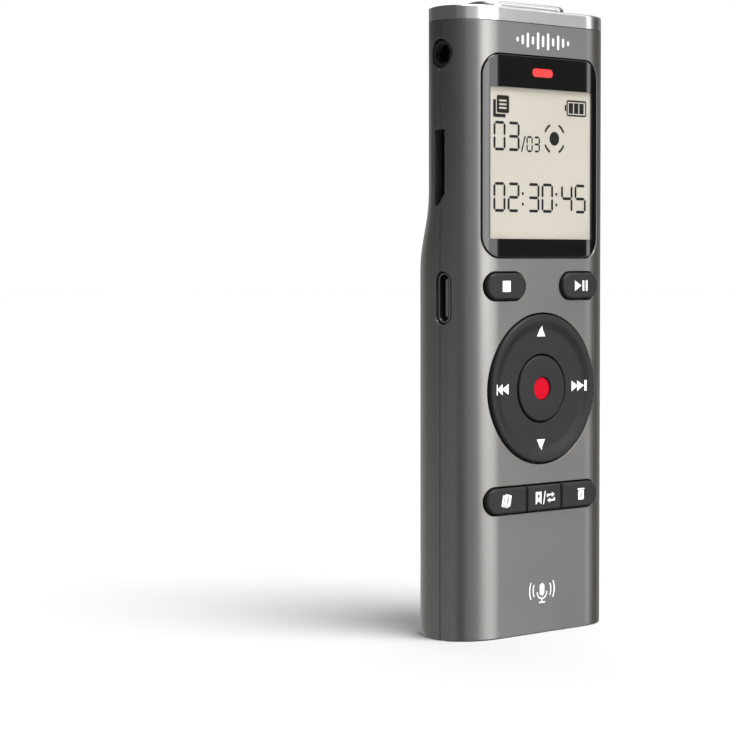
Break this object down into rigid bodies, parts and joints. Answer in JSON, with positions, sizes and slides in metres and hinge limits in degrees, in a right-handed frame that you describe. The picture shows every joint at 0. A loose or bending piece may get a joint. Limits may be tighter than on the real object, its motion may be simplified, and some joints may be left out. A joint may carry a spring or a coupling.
{
  "type": "handheld voice recorder",
  "caption": "Slim handheld voice recorder with a display, pill-shaped keys, a round four-way ring around a record key, side ports, a rear speaker and a sliding battery door.",
  "frame": {"origin": "centre of the base face, under the middle of the body", "axes": "+Z along the body from base to microphone end; -Y is the way the display and keys face; +X is the display's right-hand side as it is read"},
  "size_m": [0.0392, 0.0177, 0.1135],
  "materials": {
    "body_paint": "fine metallic satin paint",
    "cap_silver": "bright satin silver plating",
    "key_plastic": "fine matte grain",
    "window_gloss": "glossy clear window with a black printed border",
    "red_plastic": "smooth red",
    "lcd_face": "warm reflective display",
    "light_plastic": "translucent white",
    "inner_plastic": "moulded black",
    "silicone": "matte silicone",
    "board_green": "solder mask over glass fibre board",
    "chip_black": "moulded epoxy",
    "contact_metal": "nickel-plated spring steel",
    "cell_jacket": "printed cell jacket"
  },
  "bodies": {
    "body": {"front_shell": "body_paint", "rear_shell": "body_paint", "top_cap": "cap_silver", "mic_grille": "cap_silver", "display_window": "window_gloss", "record_led_lens": "red_plastic", "lcd_panel": "lcd_face", "lcd_backlight": "light_plastic", "record_led": "light_plastic", "lcd_holder": "inner_plastic", "battery_tray": "inner_plastic", "power_switch": "inner_plastic", "headphone_jack": "inner_plastic", "speaker": "inner_plastic", "keypad_membrane": "silicone", "speaker_gasket": "silicone", "left_mic_boot": "silicone", "right_mic_boot": "silicone", "main_board": "board_green", "processor": "chip_black", "memory_chip": "chip_black", "stop_dome": "contact_metal", "play_dome": "contact_metal", "file_dome": "contact_metal", "bookmark_dome": "contact_metal", "delete_dome": "contact_metal", "up_dome": "contact_metal", "down_dome": "contact_metal", "back_dome": "contact_metal", "forward_dome": "contact_metal", "record_dome": "contact_metal", "crystal": "contact_metal", "usb_c_socket": "contact_metal", "microsd_socket": "contact_metal", "left_microphone": "contact_metal", "right_microphone": "contact_metal", "lower_contact_bridge": "contact_metal", "left_contact_spring": "contact_metal", "right_contact_spring": "contact_metal", "upper_contact_plate": "contact_metal", "upper_spring_plate": "contact_metal", "lower_left_screw": "contact_metal", "lower_right_screw": "contact_metal", "middle_screw": "contact_metal", "left_battery": "cell_jacket", "right_battery": "cell_jacket"},
    "door": {"battery_door": "body_paint"},
    "stop_key": {"stop_button": "key_plastic"},
    "play_key": {"play_pause_button": "key_plastic"},
    "file_key": {"file_button": "key_plastic"},
    "bookmark_key": {"bookmark_button": "key_plastic"},
    "delete_key": {"delete_button": "key_plastic"},
    "ring_pad": {"nav_pivot": "silicone"},
    "ring": {"nav_ring": "key_plastic"},
    "record_key": {"record_button": "key_plastic", "record_dot": "red_plastic"},
    "slider": {"power_slider": "key_plastic"}
  },
  "joints": [
    {"name": "stop_press", "type": "slide", "parent": "body", "child": "stop_key", "axis": [0, 1, 0], "range_m": [0, 0.00035], "stiffness_N_per_m": 2500},
    {"name": "play_press", "type": "slide", "parent": "body", "child": "play_key", "axis": [0, 1, 0], "range_m": [0, 0.00035], "stiffness_N_per_m": 2500},
    {"name": "file_press", "type": "slide", "parent": "body", "child": "file_key", "axis": [0, 1, 0], "range_m": [0, 0.00035], "stiffness_N_per_m": 2500},
    {"name": "bookmark_press", "type": "slide", "parent": "body", "child": "bookmark_key", "axis": [0, 1, 0], "range_m": [0, 0.00035], "stiffness_N_per_m": 2500},
    {"name": "delete_press", "type": "slide", "parent": "body", "child": "delete_key", "axis": [0, 1, 0], "range_m": [0, 0.00035], "stiffness_N_per_m": 2500},
    {"name": "record_press", "type": "slide", "parent": "body", "child": "record_key", "axis": [0, 1, 0], "range_m": [0, 0.00035], "stiffness_N_per_m": 2500},
    {"name": "ring_rock_up_down", "type": "hinge", "parent": "body", "child": "ring_pad", "pos_m": [0, -0.0064, 0.04426], "axis": [1, 0, 0], "range_deg": [-1.4, 1.4], "stiffness_Nm_per_rad": 1.2},
    {"name": "ring_rock_left_right", "type": "hinge", "parent": "ring_pad", "child": "ring", "pos_m": [0, -0.0064, 0.04426], "axis": [0, 0, 1], "range_deg": [-1.4, 1.4], "stiffness_Nm_per_rad": 1.2},
    {"name": "power_slide", "type": "slide", "parent": "body", "child": "slider", "axis": [0, 0, 1], "range_m": [0, 0.004]},
    {"name": "battery_door_slide", "type": "slide", "parent": "body", "child": "door", "axis": [0, 0, -1], "range_m": [0, 0.008]}
  ]
}
